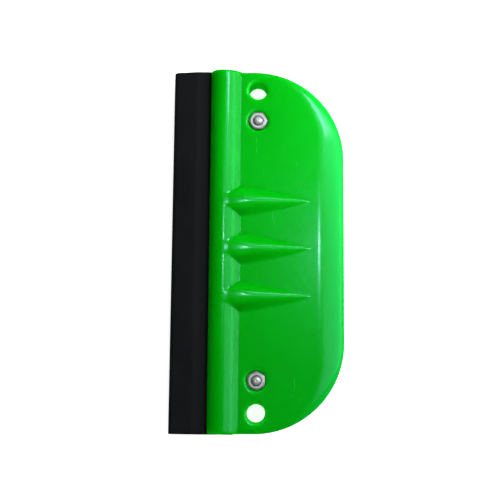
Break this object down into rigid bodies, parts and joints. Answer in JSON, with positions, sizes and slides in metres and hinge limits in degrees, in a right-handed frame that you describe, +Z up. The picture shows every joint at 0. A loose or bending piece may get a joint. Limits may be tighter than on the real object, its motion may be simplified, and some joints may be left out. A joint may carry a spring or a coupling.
{
  "type": "squeegee applicator",
  "caption": "Film and vinyl squeegee: a black rubber blade clamped by bolts in the beaded lip of a D-shaped two-part plastic handle with finger ribs and hanging holes.",
  "frame": {"origin": "on the floor under the centre of the whole tool, which lies flat on its rear face with the nuts up", "axes": "+X from the rubber blade to the back of the handle, +Y along the blade, +Z up through the thickness"},
  "size_m": [0.0724, 0.153, 0.0182],
  "materials": {
    "green_plastic": "glossy translucent moulding with fine wear scratches",
    "black_rubber": "matte cast rubber with a slight sheen on the flat",
    "zinc_steel": "bright zinc plating"
  },
  "bodies": {
    "handle": {"front_shell": "green_plastic", "rear_shell": "green_plastic"},
    "blade": {"rubber_blade": "black_rubber"},
    "upper_bolt": {"upper_bolt": "zinc_steel"},
    "lower_bolt": {"lower_bolt": "zinc_steel"},
    "upper_nut": {"upper_nut": "zinc_steel"},
    "lower_nut": {"lower_nut": "zinc_steel"}
  },
  "joints": [
    {"name": "blade_slide", "type": "slide", "parent": "handle", "child": "blade", "axis": [0, 1, 0], "range_m": [-0.14, 0.14]},
    {"name": "upper_bolt_turn", "type": "hinge", "parent": "handle", "child": "upper_bolt", "pos_m": [-0.0002, 0.0546, 0.0091], "axis": [0, 0, -1], "range_deg": [0, 1440]},
    {"name": "lower_bolt_turn", "type": "hinge", "parent": "handle", "child": "lower_bolt", "pos_m": [-0.0002, -0.0546, 0.0091], "axis": [0, 0, -1], "range_deg": [0, 1440]},
    {"name": "upper_nut_travel", "type": "slide", "parent": "handle", "child": "upper_nut", "axis": [0, 0, 1], "range_m": [0, 0.0028]},
    {"name": "lower_nut_travel", "type": "slide", "parent": "handle", "child": "lower_nut", "axis": [0, 0, 1], "range_m": [0, 0.0028]}
  ],
  "couplings": [
    {"joint": "upper_bolt_turn", "follows": "upper_nut_travel", "rad_per_m": 8975.9},
    {"joint": "lower_bolt_turn", "follows": "lower_nut_travel", "rad_per_m": 8975.9}
  ]
}
